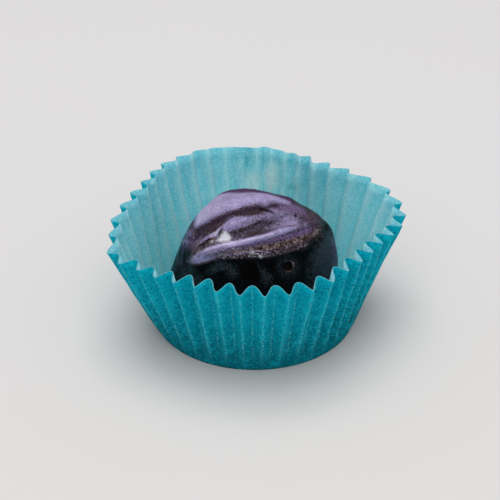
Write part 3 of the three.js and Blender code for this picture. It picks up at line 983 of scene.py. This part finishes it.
# Painted glints along the ledge's lip and the low streak, and painted highlights on the bubble's rim
SPARKLE_SWEEPS = [
    dict(low=raised(LEDGE_BRIGHTEST, 0.1), top=raised(LEDGE_BRIGHTEST, 1.1), strength=1.0, soft_top=0.6),
    dict(low=LEDGE_SPARKLING, top=raised(LEDGE_SPARKLING, 1.9), strength=0.62, soft_top=0.8),
    streak(LOW_STREAK, 0.3, 0.5)]
SPARKLE_DABS = [(5.0, 10.5, 0.9, 1.0), (-4.6, 9.05, 0.8, 0.8), (-2.9, 9.1, 0.7, 0.8), (6.4, 11.2, 0.8, 1.0),
                (8.0, 11.2, 0.7, 1.0), (9.6, 12.8, 0.7, 0.6), (-6.6, 12.3, 1.0, 0.75),
                (-7.6, 11.5, 0.9, 0.7), (-5.2, 9.2, 0.8, 0.85), (5.9, 8.2, 0.4, 0.75), (4.5, 7.0, 0.4, 0.7)]
# Blue haze on the bare chocolate: bloom on the front, and painted sheen along the right side
HAZE_SWEEPS = [
    dict(low=RIGHT_SIDE_LOW, top=RIGHT_SIDE_TOP, strength=0.42, end_strength=1.1, soft_top=3.0, ends=1.8),
    streak(LEFT_BLOOM, 0.5, 0.58, soft=1.6, ends=1.2),
    streak(MIDDLE_BLOOM, 0.6, 0.42, soft=1.6, ends=1.0)]
HAZE_DABS = [(-10.6, 6.3, 1.4, 0.42), (-9.1, 5.6, 1.0, 0.45), (-5.2, 8.0, 0.9, 0.45), (-3.4, 6.8, 0.9, 0.5),
             (5.2, 7.6, 1.7, 0.38), (1.9, 5.8, 0.9, 0.40), (-11.6, 8.5, 1.0, 0.25)]
CRUMB_SWEEPS = [
    dict(low=raised(LEDGE_CRUMBED, 0.1), top=UNDER_SHARP, strength=1.0, soft_top=0.4, ends=0.4),
    streak(CRUMB_ROW, 0.3, 1.0), streak(CRUMB_ROW_LEFT, 0.3, 1.0)]
CRUMB_DABS = [(-8.2, 11.3, 1.3, 0.7), (6.2, 15.3, 0.7, 0.6), (2.4, 15.6, 1.2, 0.35)]
COAT_SWEEPS = [dict(low=LEDGE_CRISP, top=PAST_THE_TOP, strength=1.0, soft_low=0.2, ends=0.6),
               dict(low=LEDGE_SOFT, top=PAST_THE_TOP, strength=1.0, soft_low=1.3, ends=0.6)]
# Cracks showing bare chocolate, and painted shade along the ledge, the furrow's middle and the brown arc
DARK_SWEEPS = [
    streak(LOBE_CRACK, 0.05, 0.8, soft=0.25),
    streak(CRUMB_ROW, 0.12, 1.0),
    streak(CRUMB_ROW_LEFT, 0.15, 0.9),
    streak(LEDGE_SHADED, 0.02, 0.8, soft=0.25),
    streak(FURROW_MIDDLE, 0.30, 0.45, soft=0.9),
    streak(CRACK_ACROSS, 0.06, 0.9, soft=0.3, ends=0.3),
    streak(CRACK_BELOW, 0.03, 0.75, soft=0.3, ends=0.3),
    streak(BROWN_ARC, 0.26, 0.85, soft=0.8, ends=0.6)]
DARK_DABS = [(6.4, 15.55, 0.26, 1.0), (5.0, 15.8, 0.4, 0.5), (6.8, 14.5, 0.4, 0.45), (7.3, 15.2, 0.4, 0.5),
             (*BUBBLE_MIDDLE, 0.7, 1.5), (9.2, 15.2, 0.9, 0.45), (-10.3, 9.6, 0.6, 0.7)]


def coat_behind(x, y, z):
    return smooth_step(0.5 + inside_coating(x, y) / 0.04) * rise(z, 9, 11)


def far_dust(x, y, z):
    """The far side has the same coating, brushed once and less evenly: lilac, violet and bronze."""
    coat = coat_behind(x, y, z)
    ridge = band(off_stroke(BACK_RIDGE, x, y), low=-1.6, high=1.2, soft=1.0) * 0.75
    edge = band(inside_coating(x, y), low=-0.02, high=0.16, soft=0.06)
    return coat * ridge, coat * 0.7, coat * edge * 0.8


def far_flecks(x, y, z):
    """No cream on the far side, a few sparkles along the coating's edge, and an even haze."""
    edge = band(inside_coating(x, y), low=-0.01, high=0.10, soft=0.04)
    return 0, coat_behind(x, y, z) * edge * 0.7, 0.25


def far_coating(x, y, z):
    """No crumbs and no dark marks on the far side."""
    return 0, coat_behind(x, y, z), 0


# ---------------------------------------------------------------- putting it together

case = fold_paper_case()
finish_case(case, [
    paper_finish("case_outside", OUTSIDE, mottle=0.88, crease_share=0.60, flank_light_share=0.0),
    # The inside carries painted light: paler colours, shade and light on the flanks, shade and highlights at
    # the rim
    paper_finish("case_inside", INSIDE, mottle=0.58, crease_share=0.15, flank_light_share=0.42,
                 marks=(FOLD_MARK, BENT_MARK, HEM_MARK), patches=DENT_HIGHLIGHTS),
    cut_paper_finish()])

truffle = shape_truffle()
brushed(truffle, "lustre", [(LILAC_SWEEPS, LILAC_DABS), (VIOLET_SWEEPS, VIOLET_DABS),
                            (BRONZE_SWEEPS, BRONZE_DABS)], far_dust)
brushed(truffle, "flecks", [(CREAM_SWEEPS, CREAM_DABS), (SPARKLE_SWEEPS, SPARKLE_DABS),
                            (HAZE_SWEEPS, HAZE_DABS)], far_flecks)
brushed(truffle, "coating", [(CRUMB_SWEEPS, CRUMB_DABS), (COAT_SWEEPS, []), (DARK_SWEEPS, DARK_DABS)],
        far_coating)
truffle.data.materials.append(truffle_finish())
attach(truffle, "root")
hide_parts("truffle")

studio()
